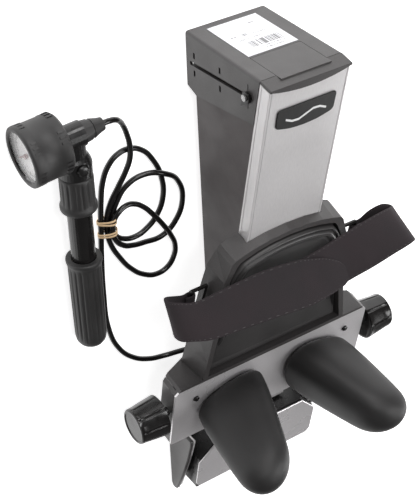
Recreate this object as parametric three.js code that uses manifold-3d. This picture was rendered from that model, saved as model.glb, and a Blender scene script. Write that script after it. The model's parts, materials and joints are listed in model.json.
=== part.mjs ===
// Home neck-traction unit lying on a table: a sloping aluminium track on a dark base, a sliding
// carriage with a head cradle, two neck wedges and a head strap, and a hand pump with a gauge and hose.
// Millimetres. x runs across the unit (+x is the pump's side), y from the head end to the neck end,
// z up. The row's origin is the middle of the rubber pad under the neck end, on the table.
import * as THREE from "three";
import { mergeVertices } from "three/addons/utils/BufferGeometryUtils.js";
import Module from "manifold-3d";

const wasm = await Module();
wasm.setup();

// ---------------------------------------------------------------- driving dimensions
const GAP = 0.3; // clearance between neighbours that touch
const ORIGIN_Y = 560; // the pad's middle, measured from the head face

const TRACK_SLOPE = 11.54; // degrees, head end high
const TRACK_RISE = 141.8; // height of the track's top plane above the head face
const TRACK_HALF = 47.4;
const TRACK_LIP = 15; // depth of the track's side lips
const TRACK_START = 7;
const TRACK_END = 512;

const STAND_HALF = 48;
const STAND_WALL = 3;
const STAND_DEPTH = 59.6;
const SLOT_LOW = [32.1, 6.9]; // y, z of the slot's two ends on the stand's side
const SLOT_HIGH = [24.3, 113.3];
const SLOT_WIDTH = 4.2;
const MARK_HEIGHTS = [14.7, 59.8, 107.1];

const CHANNEL_HALF = 44.6;
const PANEL_OUTER = 95;
const PANEL_WALL = 4.5;
const BLOCK_HALF = 84;

const CROSS_HALF = 132; // the carriage's crossbar
const CROSS_HEAD = 376;
const CROSS_NECK = 472;
const CROSS_TOP = 20.2;
const SCREW_S = 422.6; // lead screw's place along and above the track
const SCREW_N = 7.4;
const WEDGE_X = 56;
const WEDGE_S = 427;
const WEDGE_CORNER = 232; // direction of the section's sharpest corner, from outwards towards the neck
const STUD_X = 104; // small studs in the crossbar's plate
const STUD_S = 402.5;

const PAD_FLOOR = 3; // top of the cradle's floor above the track

const HANDLE_START = [195.5, 84, 28]; // middle of the pump's ball elbow
const HANDLE_END = [192, 320, 17.4];
const GAUGE_FACE = [251, 55.8, 31.7];
const GAUGE_YAW = 4.4; // degrees
const BOOT_LENGTH = 42;
const BOOT_RADIUS = 31.5;

const HOSE_RADIUS = 3;

// ---------------------------------------------------------------- materials
const finish = (color, roughness, metalness = 0) =>
  new THREE.MeshStandardMaterial({ color, roughness, metalness });
const MAT = {
  charcoal: finish(0x4a4546, 0.45),
  channel: finish(0x3c3636, 0.5),
  black: finish(0x161415, 0.3),
  rubber: finish(0x1b191a, 0.75),
  boot: finish(0x2c2a2b, 0.6),
  silver: finish(0xc4c2c3, 0.35, 0.85),
  paper: finish(0xf2f2f4, 0.6),
  emblem: finish(0xe6e6e6, 0.4),
  steel: finish(0x9a9a9c, 0.3, 0.9),
  pad: finish(0x343132, 0.6),
  fabric: finish(0x201d20, 0.9),
  dial: finish(0xf0efec, 0.5),
  red: finish(0xb02a22, 0.4),
  clear: finish(0xe8f0f2, 0.05),
  band: finish(0xc9a878, 0.6),
};

// ---------------------------------------------------------------- geometry helpers
const V = (x, y, z) => new THREE.Vector3(x, y, z);

// One closed, outward-facing skin with shared vertices and no slivers.
function closed(geometry) {
  const g = geometry.index ? geometry.toNonIndexed() : geometry.clone();
  for (const name of Object.keys(g.attributes)) {
    if (name !== "position") g.deleteAttribute(name);
  }
  const merged = mergeVertices(g, 1e-3);
  const p = merged.attributes.position;
  const index = merged.index.array;
  const kept = [];
  let volume = 0;
  for (let i = 0; i < index.length; i += 3) {
    const [a, b, c] = [index[i], index[i + 1], index[i + 2]];
    if (a === b || b === c || c === a) continue;
    kept.push(a, b, c);
    const [A, B, C] = [a, b, c].map((k) => V(p.getX(k), p.getY(k), p.getZ(k)));
    volume += A.dot(B.cross(C)) / 6;
  }
  if (volume < 0) kept.reverse();
  merged.setIndex(kept);
  merged.computeVertexNormals();
  return merged;
}

function toSolid(geometry) {
  const g = closed(geometry);
  return new wasm.Manifold(new wasm.Mesh({
    numProp: 3,
    vertProperties: new Float32Array(g.attributes.position.array),
    triVerts: new Uint32Array(g.index.array),
  }));
}

function fromSolid(solid) {
  const mesh = solid.getMesh();
  const g = new THREE.BufferGeometry();
  g.setAttribute("position", new THREE.BufferAttribute(new Float32Array(mesh.vertProperties), 3));
  g.setIndex(new THREE.BufferAttribute(new Uint32Array(mesh.triVerts), 1));
  g.computeVertexNormals();
  return g;
}

const join = (...parts) => fromSolid(parts.map(toSolid).reduce((a, b) => a.add(b)));
const overlap = (...parts) => fromSolid(parts.map(toSolid).reduce((a, b) => a.intersect(b)));
const cut = (base, ...tools) => fromSolid(tools.map(toSolid).reduce((a, b) => a.subtract(b), toSolid(base)));

// A flat outline whose corners [a, b, radius] may be rounded, never past the middle of an edge.
function outline(points, holes = []) {
  const trace = (path, list) => {
    const at = list.map(([a, b]) => new THREE.Vector2(a, b));
    list.forEach(([, , wanted = 0], i) => {
      const corner = at[i];
      const previous = at[(i + list.length - 1) % list.length];
      const next = at[(i + 1) % list.length];
      const r = Math.min(wanted, 0.45 * corner.distanceTo(previous), 0.45 * corner.distanceTo(next));
      if (r === 0) {
        if (i === 0) path.moveTo(corner.x, corner.y);
        else path.lineTo(corner.x, corner.y);
        return;
      }
      const before = previous.clone().sub(corner).setLength(r).add(corner);
      const after = next.clone().sub(corner).setLength(r).add(corner);
      if (i === 0) path.moveTo(before.x, before.y);
      else path.lineTo(before.x, before.y);
      path.quadraticCurveTo(corner.x, corner.y, after.x, after.y);
    });
    path.closePath();
    return path;
  };
  const shape = trace(new THREE.Shape(), points);
  shape.holes = holes.map((hole) => trace(new THREE.Path(), hole));
  return shape;
}

function circle(a, b, radius) {
  const shape = new THREE.Shape();
  shape.absarc(a, b, radius, 0, 2 * Math.PI, false);
  return shape;
}

function prism(shape, depth, bevel = 0, segments = 4) {
  const g = new THREE.ExtrudeGeometry(shape, {
    depth: depth - 2 * bevel,
    bevelEnabled: bevel > 0,
    bevelSize: bevel,
    bevelThickness: bevel,
    bevelOffset: -bevel,
    bevelSegments: 1,
    curveSegments: segments,
  });
  return g.translate(0, 0, bevel);
}

const basis = (x, y, z) => new THREE.Matrix4().makeBasis(x, y, z);
const alongX = (shape, x0, x1, bevel, segments) =>
  prism(shape, x1 - x0, bevel, segments).applyMatrix4(basis(V(0, 1, 0), V(0, 0, 1), V(1, 0, 0))).translate(x0, 0, 0);
const alongY = (shape, y0, y1, bevel, segments) =>
  prism(shape, y1 - y0, bevel, segments).applyMatrix4(basis(V(1, 0, 0), V(0, 0, 1), V(0, -1, 0))).translate(0, y1, 0);
const alongZ = (shape, z0, z1, bevel, segments) => prism(shape, z1 - z0, bevel, segments).translate(0, 0, z0);

const rectangle = (a0, a1, b0, b1, r = 0) => [[a0, b0, r], [a1, b0, r], [a1, b1, r], [a0, b1, r]];
const block = (x0, x1, y0, y1, z0, z1) =>
  new THREE.BoxGeometry(x1 - x0, y1 - y0, z1 - z0).translate((x0 + x1) / 2, (y0 + y1) / 2, (z0 + z1) / 2);

// A turned shape: profile is [along, radius] pairs, axis starts at `from` and points along `direction`.
function turned(profile, from, direction, segments = 28) {
  const g = new THREE.LatheGeometry(profile.map(([t, r]) => new THREE.Vector2(r, t)), segments);
  g.applyQuaternion(new THREE.Quaternion().setFromUnitVectors(V(0, 1, 0), direction.clone().normalize()));
  return g.translate(...from);
}
const rod = (radius, from, direction, length, segments = 20) =>
  turned([[0, 0], [0, radius], [length, radius], [length, 0]], from, direction, segments);
const tube = (outer, inner, start, end) =>
  [[start, inner], [start, outer], [end, outer], [end, inner], [start, inner]];

// Skin over rings of points: flat fans close both ends.
function skin(rings) {
  const n = rings[0].length;
  const middle = (ring) => ring.reduce((sum, p) => sum.add(p), V(0, 0, 0)).divideScalar(n);
  const points = [...rings.flat(), middle(rings[0]), middle(rings.at(-1))];
  const index = [];
  for (let r = 0; r + 1 < rings.length; r++) {
    for (let i = 0; i < n; i++) {
      const j = (i + 1) % n;
      const [a, b, c, d] = [r * n + i, r * n + j, (r + 1) * n + i, (r + 1) * n + j];
      index.push(a, b, d, a, d, c);
    }
  }
  const [first, last] = [points.length - 2, points.length - 1];
  const top = (rings.length - 1) * n;
  for (let i = 0; i < n; i++) {
    const j = (i + 1) % n;
    index.push(first, j, i, last, top + i, top + j);
  }
  const g = new THREE.BufferGeometry().setFromPoints(points);
  g.setIndex(index);
  return g;
}

// A flat strip with a rectangular section, through stations of [middle, half-width vector].
function ribbon(stations, thickness) {
  const rings = stations.map(([middle, half], i) => {
    const next = stations[Math.min(i + 1, stations.length - 1)][0];
    const last = stations[Math.max(i - 1, 0)][0];
    const up = next.clone().sub(last).cross(half).setLength(thickness / 2);
    return [[1, 1], [-1, 1], [-1, -1], [1, -1]].map(([w, t]) =>
      middle.clone().addScaledVector(half, w).addScaledVector(up, t));
  });
  return skin(rings);
}

function named(name, material, geometry) {
  const mesh = new THREE.Mesh(closed(geometry), MAT[material]);
  mesh.name = name;
  return mesh;
}

// ---------------------------------------------------------------- the track's own frame
// Inside it x is across, y is the distance s down the slope and z the height n above its top plane.
const slope = THREE.MathUtils.degToRad(TRACK_SLOPE);
const DOWN = V(0, Math.cos(slope), -Math.sin(slope));
const ABOVE = V(0, Math.sin(slope), Math.cos(slope));
const trackFrame = new THREE.Matrix4().makeBasis(V(1, 0, 0), DOWN, ABOVE).setPosition(0, 0, TRACK_RISE);
// Height, in the unit's frame, of the plane n above the track at y.
const planeHeight = (y, n) => TRACK_RISE - y * Math.tan(slope) + n / Math.cos(slope);

// ---------------------------------------------------------------- stand at the head end
const slotLean = Math.atan2(SLOT_LOW[0] - SLOT_HIGH[0], SLOT_HIGH[1] - SLOT_LOW[1]);
const slotY = (z) => SLOT_LOW[0] + (SLOT_LOW[1] - z) * Math.tan(slotLean);

function standShell() {
  const plan = alongZ(outline([
    [-STAND_HALF, 0, 3], [STAND_HALF, 0, 3], [STAND_HALF, 80], [STAND_HALF - STAND_WALL, 80],
    [STAND_HALF - STAND_WALL, STAND_WALL], [STAND_WALL - STAND_HALF, STAND_WALL],
    [STAND_WALL - STAND_HALF, 80], [-STAND_HALF, 80],
  ]), 0, 140);
  const under = -TRACK_LIP - 0.5;
  const side = alongX(outline([
    [-5, 0.5], [STAND_DEPTH, 0.5], [65.5, 16.5], [52, planeHeight(52, under)], [-5, planeHeight(-5, under)],
  ]), -60, 60);
  const notch = block(-29.6, 29.6, -5, 10, 84.5, 150);
  const tools = [notch];
  const slotLength = Math.hypot(SLOT_LOW[0] - SLOT_HIGH[0], SLOT_HIGH[1] - SLOT_LOW[1]);
  const slot = alongX(outline(rectangle(-SLOT_WIDTH / 2, SLOT_WIDTH / 2, 0, slotLength, 1.5)), -60, 60, 0, 2);
  slot.rotateX(slotLean);
  tools.push(slot.translate(0, SLOT_LOW[0], SLOT_LOW[1]));
  MARK_HEIGHTS.forEach((z, i) => {
    const width = i === 2 ? 1.2 : 3;
    for (const offset of [-9.8, 9.8]) {
      const y = slotY(z) + offset;
      tools.push(block(-60, 60, y - 3.3, y + 3.3, z - width / 2, z + width / 2));
    }
  });
  return named("stand_shell", "charcoal", cut(overlap(plan, side), ...tools));
}

const labelSticker = () =>
  named("label_sticker", "paper", block(-29.2, 29.2, -0.35, -0.05, 10.2, 81.8));

// ---------------------------------------------------------------- telescoping leg inside the stand
const LEG_TRAVEL = V(0, Math.sin(slotLean), -Math.cos(slotLean));
const PIN_AT = [slotY(MARK_HEIGHTS[2]), MARK_HEIGHTS[2]];

function leg() {
  const plan = alongZ(outline([
    [-41, 8, 1.5], [41, 8, 1.5], [41, 44], [38.5, 44], [38.5, 10.5], [-38.5, 10.5], [-38.5, 44], [-41, 44],
  ]), 3.3, 117, 0, 2);
  const foot = block(-41, 41, 8, 44, 3.3, 6);
  const pinHole = rod(2.1, [-60, ...PIN_AT], V(1, 0, 0), 120, 14);
  return named("leg_frame", "channel", cut(join(plan, foot), pinHole));
}

const legFoot = () => named("leg_foot_pad", "rubber", alongZ(outline(rectangle(-40, 40, 9, 43, 4)), 0, 3, 0.6));

function legPin() {
  const profile = [[-53.6, 0], [-53.6, 3.4], [-51.9, 3.4], [-51.9, 1.7], [51.9, 1.7], [51.9, 3.4], [53.6, 3.4], [53.6, 0]];
  return named("leg_pin", "steel", turned(profile, [0, ...PIN_AT], V(1, 0, 0), 16));
}

// A small teardrop lever on each end of the pin: turned down, it locks the leg.
function lockLever(side) {
  const shape = outline([[-5.5, -5.5, 5], [5.5, -5.5, 3], [14, -9, 4], [4, 5.5, 3], [-5.5, 5.5, 4]]);
  const [x0, x1] = side > 0 ? [48.5, 51.5] : [-51.5, -48.5];
  const plate = alongX(shape, x0, x1, 0.3, 2).translate(0, ...PIN_AT);
  const pinHole = rod(2.1, [-60, ...PIN_AT], V(1, 0, 0), 120, 14);
  return named(side > 0 ? "lock_lever_left" : "lock_lever_right", "black", cut(plate, pinHole));
}

// ---------------------------------------------------------------- base channel and neck end
function baseChannel() {
  const under = -TRACK_LIP - 0.9;
  const profile = (x, raise, y0, y1) => alongX(outline([
    [y0, 10.5 + raise], [290, 16 + raise], [y1, 16 + raise],
    [y1, planeHeight(y1, under) + 3 * raise], [y0, planeHeight(y0, under) + 3 * raise],
  ]), -x, x);
  const outer = profile(CHANNEL_HALF, 0, 47, 503);
  const inner = profile(CHANNEL_HALF - 2.5, 2.5, 40, 510);
  const legRoom = block(-43, 43, 40, 61.5, 0, 40);
  const inlet = rod(4.2, [30, 385, 22], V(1, 0, 0), 30, 16);
  return named("base_channel", "channel", cut(outer, inner, legRoom, inlet));
}

const noseCurve = [[611, 4, 3], [609, 12, 4], [583, 23], [555, 33.5], [528, 43], [505, 49.8], [497.5, 50.6, 3]];

function sidePanel(side) {
  const shape = outline([[430, 0.3, 3], [606, 0.3, 4], ...noseCurve, [497.5, 17, 3], [430, 17, 3]]);
  const [x0, x1] = [PANEL_OUTER - PANEL_WALL, PANEL_OUTER];
  const g = side > 0 ? alongX(shape, x0, x1, 0.8) : alongX(shape, -x1, -x0, 0.8);
  return named(side > 0 ? "side_panel_left" : "side_panel_right", "charcoal", g);
}

function sideTrim(side) {
  const lowered = noseCurve.map(([y, z, r]) => [y - 2, z - 1.2, r]);
  const shape = outline([[500, 13], [604, 13], ...lowered.slice(2, 6), [500, 48.4]]);
  const g = side > 0 ? alongX(shape, 87.4, 89.6) : alongX(shape, -89.6, -87.4);
  return named(side > 0 ? "trim_rail_left" : "trim_rail_right", "silver", g);
}

const PLATE_N = 17.6; // underside of the nose plate above the track plane
function neckBlock() {
  const plan = alongZ(outline([
    [-62, 506], [62, 506], [BLOCK_HALF, 533], [BLOCK_HALF, 589, 3], [-BLOCK_HALF, 589, 3], [-BLOCK_HALF, 533],
  ]), 0, 80);
  const side = alongX(outline([
    [506, 3.3], [590, 3.3], [590, planeHeight(590, PLATE_N - GAP)], [506, planeHeight(506, PLATE_N - GAP)],
  ]), -100, 100);
  const flange = block(-90.2, 90.2, 515, 588, 3.3, 12);
  return named("neck_block", "black", join(overlap(plan, side), flange));
}

function nosePlate() {
  const shape = outline([
    [-63, 517], [63, 517], [85.5, 544], [85.5, 587, 3], [80, 593, 2], [-80, 593, 2], [-85.5, 587, 3], [-85.5, 544],
  ]);
  return named("nose_plate", "silver", alongZ(shape, PLATE_N, PLATE_N + 2.4, 0.6, 3));
}

const neckPad = () => named("neck_foot_pad", "rubber", alongZ(outline(rectangle(-80, 80, 525, 595, 5)), 0, 3, 0.6));

function hoseInlet() {
  const profile = [[-8, 3.1], [-8, 3.9], [GAP, 3.9], [GAP, 8], [4, 8], [5, 6], [13, 5], [13, 3.3], [-8, 3.1]];
  return named("hose_inlet", "black", turned(profile, [CHANNEL_HALF, 385, 22], V(1, 0, 0), 20));
}

// ---------------------------------------------------------------- track and its head-end cap
function trackExtrusion() {
  const t = 3;
  const half = [
    [0, 0], [43.6, 0], [44.1, -0.6], [44.6, -0.6], [45.1, 0], [TRACK_HALF, 0, 1.2], [TRACK_HALF, -11],
    [TRACK_HALF - 0.6, -11.3], [TRACK_HALF - 0.6, -12], [TRACK_HALF, -12.3], [TRACK_HALF, -TRACK_LIP],
    [TRACK_HALF - t, -TRACK_LIP], [TRACK_HALF - t, -t, 1.5], [0, -t],
  ];
  const mirror = half.slice(1, -1).reverse().map(([x, n, r]) => [-x, n, r]);
  const bar = alongY(outline([...half, ...mirror]), TRACK_START, TRACK_END, 0, 2);
  const slot = block(-7, 7, 316, 436, -10, 10);
  return named("track", "silver", cut(bar, slot));
}

function endCap() {
  const bulge = (x) => 5.6 + 7.2 * (1 - (x / TRACK_HALF) ** 2);
  const edge = [1, 0.8, 0.55, 0.25, 0, -0.25, -0.55, -0.8, -1].map((u) => [u * TRACK_HALF, bulge(u * TRACK_HALF)]);
  const lip = alongZ(outline([[-TRACK_HALF, 3.2, 2], [TRACK_HALF, 3.2, 2], ...edge]), GAP, 2.4, 0.4, 2);
  const face = alongZ(outline(rectangle(-TRACK_HALF, TRACK_HALF, 3.2, TRACK_START - GAP, 0.8)), -TRACK_LIP, 1.6, 0, 2);
  const bar = join(lip, face).applyMatrix4(trackFrame);
  const tongue = alongY(outline([[-29.2, 85, 1], [29.2, 85, 1], [29.2, 134], [-29.2, 134]]), 0, 2.6, 0, 2);
  return named("end_cap", "charcoal", join(bar, tongue));
}

function badge() {
  const shape = outline([[-35, 32, 5], [35, 32, 5], [34.5, 55, 5], [16, 60, 6], [0, 61, 4], [-16, 60, 6], [-34.5, 55, 5]]);
  return named("badge", "black", alongZ(shape, GAP, 1.7, 0.5, 4));
}

// A plain three-stroke wave in relief on the badge.
function badgeEmblem() {
  const wave = [-24, -16, -8, 0, 8, 16, 24].map((x) => [x, 46 + 4 * Math.sin(x / 7)]);
  const back = wave.map(([x, s]) => [x, s + 2.4]).reverse();
  return named("badge_emblem", "emblem", alongZ(outline([...wave, ...back]), 1.75, 2.1));
}

const CYLINDER_N = -18;
const cylinderBarrel = () => named("air_cylinder", "steel", turned(
  [[0, 0], [0, 11], [240, 11], [240, 4.3], [236, 4.3], [236, 8.7], [4, 8.7], [4, 0]],
  [0, 90, CYLINDER_N], V(0, 1, 0), 24));

function cylinderClamp(s, name) {
  const body = block(-15, 15, s - 8, s + 8, -31, -3 - GAP);
  return named(name, "black", cut(body, rod(11.3, [0, s - 20, CYLINDER_N], V(0, 1, 0), 40, 24)));
}

// ---------------------------------------------------------------- carriage
const RIM = [[72, 211.6], [79, 236], [83, 262], [88, 316], [93, 350], [97, 378]]; // x, s down one side
const SKIRT = [[73.4, 209.8], [83.7, 231], [88.8, 260], [95, 305], [99, 350], [103, 378]];
const rimHeight = (s) => 10.6 + (s - 200) * (9.6 / 176);

// The cradle's plan: a bowed head-side edge and flared sides, moved inwards by inset.
function cradlePlan(side, bow, inset) {
  const [corner] = side;
  const reach = corner[0] - inset;
  const arc = [-0.94, -0.8, -0.6, -0.35, 0, 0.35, 0.6, 0.8, 0.94].map((u) =>
    [u * reach, corner[1] + inset - bow * (1 - Math.abs(u) ** 2.2)]);
  const right = side.map(([x, s], i) => [x - inset, i === 0 ? s + inset + 3 : s]);
  const left = [...right].reverse().map(([x, s]) => [-x, s]);
  return [...arc, ...right, ...left];
}

function cradleShell() {
  const skirt = cradlePlan(SKIRT, 17.3, 0).map(([x, s]) => V(x, s, -15.5));
  const rim = cradlePlan(RIM, 13.6, 0).map(([x, s]) => V(x, s, rimHeight(s)));
  const body = skin([skirt, rim]);
  const under = cradlePlan(SKIRT, 17.3, 3.2);
  const hollow = skin([under.map(([x, s]) => V(x, s, -20)), under.map(([x, s]) => V(x * 0.97, s, GAP + 0.2))]);
  const bowl = cradlePlan(RIM, 13.6, 5.5).map(([x, s]) => [x, Math.min(s, 373.5)]);
  const recess = skin([bowl.map(([x, s]) => V(x * 0.96, s, PAD_FLOOR)), bowl.map(([x, s]) => V(x, s, 26))]);
  const wings = overlap(
    alongY(outline([
      [-CROSS_HALF, -6], [-97, -20], [97, -20], [CROSS_HALF, -6], [CROSS_HALF, CROSS_TOP], [-CROSS_HALF, CROSS_TOP],
    ]), CROSS_HEAD, CROSS_NECK),
    alongZ(outline([
      [7 - CROSS_HALF, CROSS_HEAD], [CROSS_HALF - 7, CROSS_HEAD], [CROSS_HALF, CROSS_HEAD + 7],
      [CROSS_HALF, CROSS_NECK, 4], [-CROSS_HALF, CROSS_NECK, 4], [-CROSS_HALF, CROSS_HEAD + 7],
    ]), -30, 30));
  const pocket = block(-140, 140, CROSS_HEAD + 3, 480, 17.5, 30);
  const cavity = block(-128.5, 128.5, CROSS_HEAD + 3, CROSS_NECK - 3, -30, 14.6);
  const trackRoom = block(-TRACK_HALF - 0.6, TRACK_HALF + 0.6, 150, 490, -30, GAP + 0.2);
  const glideRoom = block(-54, 54, 208, 467, -30, GAP + 0.2);
  const shaftHole = rod(5.4, [-150, SCREW_S, SCREW_N], V(1, 0, 0), 300, 20);
  return named("cradle_shell", "charcoal", cut(
    join(body, wings), hollow, recess, pocket, cavity, trackRoom, glideRoom, shaftHole, ...plateWindows()));
}

// The openings the wedges' nuts travel in, one each side.
const plateWindows = () => [1, -1].map((side) =>
  block(side * WEDGE_X - 24.5, side * WEDGE_X + 24.5, 411, 439, 10, 30));

function crossbarPlate() {
  const edge = [
    [4 - CROSS_HALF, CROSS_HEAD + 3 + GAP], [CROSS_HALF - 4, CROSS_HEAD + 3 + GAP], [CROSS_HALF, CROSS_HEAD + 7.5],
    [CROSS_HALF, CROSS_NECK, 4], [-CROSS_HALF, CROSS_NECK, 4], [-CROSS_HALF, CROSS_HEAD + 7.5],
  ];
  const studs = [1, -1].map((side) => rod(2.6, [side * STUD_X, STUD_S, 10], V(0, 0, 1), 20, 12));
  return named("crossbar_plate", "silver", cut(
    alongZ(outline(edge), 17.5 + GAP, CROSS_TOP), ...plateWindows(), ...studs));
}

const plateStud = (side) => named(side > 0 ? "plate_stud_left" : "plate_stud_right", "black", turned(
  [[0, 0], [0, 2.2], [2.7, 2.2], [2.7, 3.8], [4.4, 3.6], [5.2, 2.4], [5.2, 0]],
  [side * STUD_X, STUD_S, CROSS_TOP - 2.3], V(0, 0, 1), 16));

function headPad() {
  const floor = PAD_FLOOR + GAP;
  const plan = cradlePlan(RIM, 13.6, 9).map(([x, s]) => [x, Math.min(s, 372)]);
  const ring = (scale, height) => plan.map(([x, s]) =>
    V(x * scale, 292 + (s - 292) * scale, Math.max(floor + 0.4, height - 0.4)));
  const heights = [[0.97, 14.5], [0.9, 16], [0.8, 13], [0.6, 9], [0.35, 7.5], [0.1, 7]];
  const rings = [plan.map(([x, s]) => V(x * 0.95, s * 0.96 + 292 * 0.04, floor)), plan.map(([x, s]) => V(x, s, 9))];
  return named("head_pad", "pad", skin([...rings, ...heights.map(([k, n]) => ring(k, n))]));
}

function glide(side) {
  const shape = outline([[47.9, 0.1], [53.2, 0.1], [53.2, -19.4], [45.2, -19.4], [45.2, -15.5], [47.9, -15.5]]);
  const g = alongY(shape, 216, 464);
  if (side < 0) g.scale(-1, 1, 1);
  return named(side > 0 ? "glide_left" : "glide_right", "black", g);
}

const driveLug = () => named("drive_lug", "steel", block(-5.5, 5.5, 400, 412, -24, 14.6 - GAP));
const pistonRod = () => named("piston_rod", "steel", turned(
  [[0, 0], [0, 8.3], [10, 8.3], [10, 4], [105.7, 4], [105.7, 0]],
  [0, 294, CYLINDER_N], V(0, 1, 0), 20));

function strapRing(side) {
  const edge = outline([[86.6, 248, 3], [110, 248, 3], [110, 292, 3], [92.4, 292, 3]],
    [[[91, 252, 2], [106, 252, 2], [106, 288, 2], [96.4, 288, 2]]]);
  const ring = alongZ(edge, -7, -3.8, 0.5, 2);
  if (side < 0) ring.scale(-1, 1, 1);
  return named(side > 0 ? "strap_ring_left" : "strap_ring_right", "black", ring);
}

// A strap's turn round its ring, then its way over the pad to the other side. Each station is
// [x, s, n, lean, half width]: the middle of the strap, and how far its width tips up from flat in degrees.
const RING_TURN = [
  [114.5, 270, -3, 0, 16.5], [108.5, 270, -2.1, 0, 16.5], [104.6, 270, -2.7, 0, 16.5], [103.2, 270, -5.4, 0, 16.5],
  [104.6, 270, -8.1, 0, 16.5], [108.5, 270, -8.8, 0, 16.7], [116, 270, -7.4, 2, 17],
];
const LEFT_STRAP = [
  ...RING_TURN,
  [127, 266, -3, 10, 19.5], [138, 259, 5, 25, 21.5], [144, 253, 13, 38, 22], [143.5, 249, 22, 45, 21.5],
  [136, 246.5, 29, 47, 21], [118, 247, 36, 51, 21], [80, 245, 39, 47, 23.5], [40, 244.5, 41, 46, 25.5],
  [0, 248, 43, 45, 25.5], [-20, 250, 43.8, 45, 22.5], [-36, 251.5, 45, 44, 19], [-50, 254.5, 46.5, 43, 13.5],
  [-57, 256.5, 47.4, 42, 7.5],
];
const RIGHT_STRAP = [
  ...RING_TURN.map(([x, ...rest]) => [-x, ...rest]),
  [-126, 263, -1, 16, 20], [-138, 254, 11, 38, 22.5], [-145, 246, 23, 60, 23.5], [-145, 239, 30, 74, 23.5],
  [-133, 233, 36, 73, 23.5], [-112, 235, 37, 62, 23.5], [-84, 242, 36.5, 50, 24], [-60, 248, 35.5, 44, 24],
  [-34, 251, 38, 44, 24], [0, 251.5, 40.3, 45, 24], [30, 248.3, 39.5, 45.5, 24],
];
function strap(name, stations) {
  const list = stations.map(([x, s, n, lean, halfWidth]) => {
    const a = THREE.MathUtils.degToRad(lean);
    return [V(x, s, n), V(0, halfWidth * Math.cos(a), halfWidth * Math.sin(a))];
  });
  return named(name, "fabric", ribbon(list, 2.2));
}

// ---------------------------------------------------------------- lead screw, knobs and wedges
const leadScrew = () => named("lead_screw", "steel", rod(4, [-160, SCREW_S, SCREW_N], V(1, 0, 0), 320, 20));

function knob(side) {
  const [inner, outer] = [24.5, 21.2];
  const body = turned([
    [0, 4.3], [0, inner - 1.5], [1.5, inner], [33, outer], [35.5, outer - 2.6], [34.6, outer - 5], [34.6, 0],
    [24, 0], [24, 4.3], [0, 4.3],
  ], [0, 0, 0], V(1, 0, 0), 32);
  const grooves = [...Array(8).keys()].map((k) => {
    const g = block(-5, 31, -1.5, 1.5, 21.8, 30).rotateY(THREE.MathUtils.degToRad(5.4));
    return g.rotateX((k + 0.5) * Math.PI / 4);
  });
  const g = cut(body, ...grooves);
  if (side < 0) g.rotateZ(Math.PI);
  return named(side > 0 ? "knob_left" : "knob_right", "black", g.translate(side * 140.8, SCREW_S, SCREW_N));
}

const ellipse = (cx, cy, z, a, b, count = 30) => [...Array(count).keys()].map((k) => {
  const t = (2 * Math.PI * k) / count;
  return V(cx + a * Math.cos(t), cy + b * Math.sin(t), z);
});

function wedgeCarrier(side) {
  const disc = skin([CROSS_TOP + 0.4, 23.6].map((n) => ellipse(side * WEDGE_X, WEDGE_S, n, 34, 28)));
  const nut = block(side * WEDGE_X - 10, side * WEDGE_X + 10, 413.5, 436, 1.2, 21.5);
  const bore = rod(4.4, [-200, SCREW_S, SCREW_N], V(1, 0, 0), 400, 20);
  return named(side > 0 ? "wedge_carrier_left" : "wedge_carrier_right", "black", cut(join(disc, nut), bore));
}

// The foam wedge leans outwards as it rises and ends in a round nose. Its section is a soft triangle,
// with a flat side to the neck, one to the head and its sharpest corner between the two.
function wedge(side) {
  const lean = 21.5 / 94;
  const corner = THREE.MathUtils.degToRad(WEDGE_CORNER);
  const ring = (n, a, b, soft) => [...Array(36).keys()].map((k) => {
    const t = (2 * Math.PI * k) / 36;
    const r = 1 + soft * Math.cos(3 * (t - corner));
    return V(side * (WEDGE_X + (n - 24) * lean + a * r * Math.cos(t)), WEDGE_S - (n - 24) * 0.02 + b * r * Math.sin(t), n);
  });
  const nose = [0, 20, 38, 54, 68, 80].map((deg) => {
    const t = THREE.MathUtils.degToRad(deg);
    return ring(115 + 35 * Math.sin(t), 33.4 * Math.cos(t) ** 0.85, 31 * Math.cos(t) ** 0.85, 0.06 * Math.cos(t));
  });
  const rings = [
    ring(23.9, 40.5, 36, 0.085), ring(28, 42.5, 37.5, 0.085), ring(45, 42, 37.4, 0.085), ring(70, 39.6, 35.8, 0.08),
    ring(95, 36.4, 33.2, 0.07), ...nose,
  ];
  if (side < 0) rings.forEach((one) => one.reverse());
  return named(side > 0 ? "wedge_left" : "wedge_right", "rubber", skin(rings));
}

// ---------------------------------------------------------------- pump: gauge end
// Its own frame: x along the gauge's axis from the boot's back, y and z across it.
const yaw = THREE.MathUtils.degToRad(GAUGE_YAW);
const gaugeFrame = new THREE.Matrix4().makeRotationZ(yaw)
  .setPosition(GAUGE_FACE[0] - BOOT_LENGTH * Math.cos(yaw), GAUGE_FACE[1] - BOOT_LENGTH * Math.sin(yaw), GAUGE_FACE[2]);
const gaugeTurned = (name, material, profile, segments) =>
  named(name, material, turned(profile, [0, 0, 0], V(1, 0, 0), segments));

const gaugeParts = () => [
  gaugeTurned("gauge_boot", "boot", [
    [0, 8.4], [0, 28.5], [3, BOOT_RADIUS], [BOOT_LENGTH - 2, BOOT_RADIUS], [BOOT_LENGTH, 29.8], [BOOT_LENGTH, 26.4],
    [40.9, 25.2], [40.9, 28], [3.5, 28], [3.5, 8.4], [0, 8.4],
  ], 36),
  gaugeTurned("gauge_case", "black", [[4, 8.4], [4, 27.6], [40.5, 27.6], [40.5, 26], [33.5, 26], [33.5, 8.4], [4, 8.4]], 32),
  gaugeTurned("gauge_dial", "dial", [[33.9, 1.4], [33.9, 25.6], [34.9, 25.6], [34.9, 1.4], [33.9, 1.4]], 32),
  gaugeTurned("gauge_lens", "clear", [[38.5, 0], [38.5, 25.6], [40.3, 25.6], [40.3, 0]], 32),
];

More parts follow.
